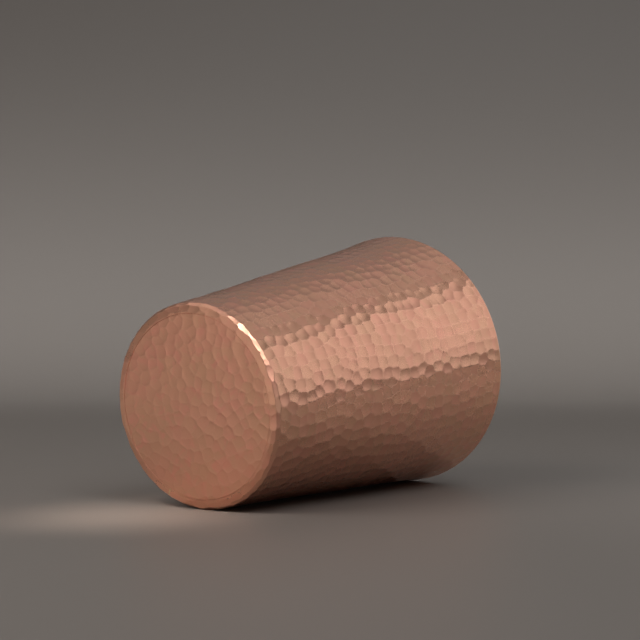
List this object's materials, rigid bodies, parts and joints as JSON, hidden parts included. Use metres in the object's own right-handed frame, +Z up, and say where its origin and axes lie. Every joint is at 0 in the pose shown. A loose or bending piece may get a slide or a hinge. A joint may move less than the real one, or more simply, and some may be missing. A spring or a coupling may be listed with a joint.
{
  "type": "hammered copper tumbler",
  "caption": "Hand-hammered copper tumbler with a gently flared mouth, a turned-in rounded foot and a flat base disc brazed into it.",
  "frame": {"origin": "Centre of the round face that the tumbler stands on.", "axes": "+Z runs up the tumbler's axis from the base to the mouth. +X and +Y are square to it; the brazed side seam is 115 degrees round from +X towards +Y."},
  "size_m": [0.0783, 0.0784, 0.101],
  "materials": {
    "copper_wall": null,
    "copper_base": null,
    "braze_alloy": "dressed-back yellowish brazing alloy, satin"
  },
  "bodies": {
    "root": {"wall": "copper_wall", "base_disc": "copper_base", "base_braze": "braze_alloy", "side_braze": "braze_alloy"}
  },
  "joints": []
}
